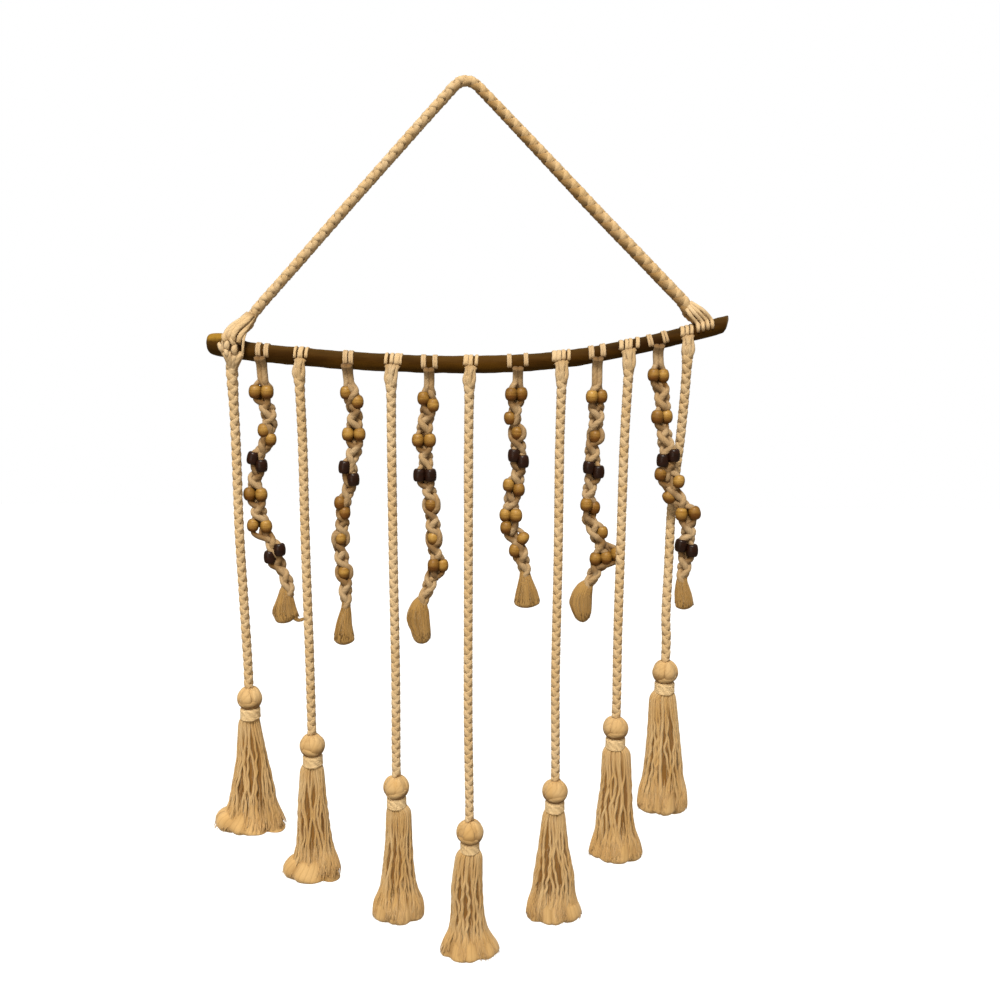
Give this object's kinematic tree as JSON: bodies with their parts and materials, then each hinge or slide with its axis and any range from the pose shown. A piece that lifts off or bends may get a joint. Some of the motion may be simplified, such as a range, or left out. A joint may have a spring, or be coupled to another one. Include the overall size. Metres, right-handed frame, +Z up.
{
  "type": "macrame wall hanging on a branch",
  "caption": "Wall hanging of knotted cotton: braided cords with tassels and beaded twisted sinnets hang in a point from a dark curved branch on a rope.",
  "frame": {"origin": "where the nail bears on the underside of the hanging rope, at the top", "axes": "+Z up along the hanging cords, +X along the branch to the viewer's right, front towards -Y"},
  "size_m": [0.6121, 0.0592, 1.0665],
  "materials": {
    "bark": "satin",
    "braided_cord": "matte",
    "tassel_yarn": "matte",
    "sinnet_cord": "matte",
    "dark_wood": "gloss",
    "light_wood": "satin"
  },
  "bodies": {
    "root": {"branch": "bark", "hanging_rope": "braided_cord", "lashing_left": "braided_cord", "lashing_right": "braided_cord", "cord_knot_2": "braided_cord", "cord_knot_3": "braided_cord", "cord_knot_4": "braided_cord", "cord_knot_5": "braided_cord", "cord_knot_6": "braided_cord", "cord_knot_7": "braided_cord", "cord_1": "braided_cord", "cord_2": "braided_cord", "cord_3": "braided_cord", "cord_4": "braided_cord", "cord_5": "braided_cord", "cord_6": "braided_cord", "cord_7": "braided_cord", "tassel_1": "tassel_yarn", "tassel_2": "tassel_yarn", "tassel_3": "tassel_yarn", "tassel_4": "tassel_yarn", "tassel_5": "tassel_yarn", "tassel_6": "tassel_yarn", "tassel_7": "tassel_yarn", "binding_1": "braided_cord", "binding_2": "braided_cord", "binding_3": "braided_cord", "binding_4": "braided_cord", "binding_5": "braided_cord", "binding_6": "braided_cord", "binding_7": "braided_cord", "sinnet_knot_1": "braided_cord", "sinnet_knot_2": "braided_cord", "sinnet_knot_3": "braided_cord", "sinnet_knot_4": "braided_cord", "sinnet_knot_5": "braided_cord", "sinnet_knot_6": "braided_cord", "sinnet_1": "sinnet_cord", "sinnet_2": "sinnet_cord", "sinnet_3": "sinnet_cord", "sinnet_4": "sinnet_cord", "sinnet_5": "sinnet_cord", "sinnet_6": "sinnet_cord", "dark_bead_1_1a": "dark_wood", "dark_bead_1_1b": "dark_wood", "dark_bead_1_2a": "dark_wood", "dark_bead_1_2b": "dark_wood", "dark_bead_2_1a": "dark_wood", "dark_bead_2_1b": "dark_wood", "dark_bead_3_1a": "dark_wood", "dark_bead_3_1b": "dark_wood", "dark_bead_4_1a": "dark_wood", "dark_bead_4_1b": "dark_wood", "dark_bead_5_1a": "dark_wood", "dark_bead_5_1b": "dark_wood", "dark_bead_6_1a": "dark_wood", "dark_bead_6_1b": "dark_wood", "dark_bead_6_2a": "dark_wood", "dark_bead_6_2b": "dark_wood"}
  },
  "joints": []
}
